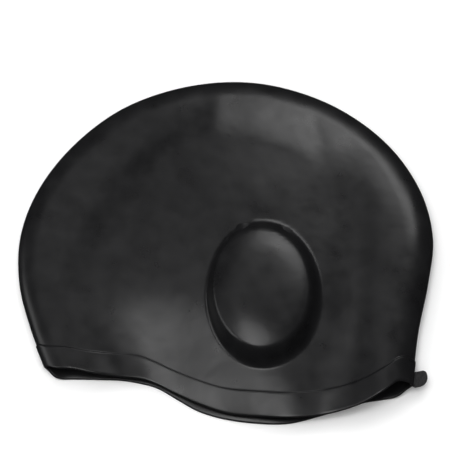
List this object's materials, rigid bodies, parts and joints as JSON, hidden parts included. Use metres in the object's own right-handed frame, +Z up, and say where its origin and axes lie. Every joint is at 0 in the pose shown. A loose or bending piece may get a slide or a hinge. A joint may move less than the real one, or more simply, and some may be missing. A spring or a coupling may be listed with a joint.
{
  "type": "swim cap with ear pockets",
  "caption": "Moulded silicone swim cap with a domed ear pocket on each side, a thicker rim band and a small pull tab, lying on its side.",
  "frame": {"origin": "middle of the base: the point of the floor under the middle of the lying cap's box", "axes": "+X from the forehead edge to the nape edge, +Y from the rim to the crown, +Z up from the floor through the upper ear pocket"},
  "size_m": [0.2286, 0.2042, 0.0266],
  "materials": {
    "silicone": "satin moulded silicone rubber, black"
  },
  "bodies": {
    "root": {"cap_shell": "silicone"}
  },
  "joints": []
}
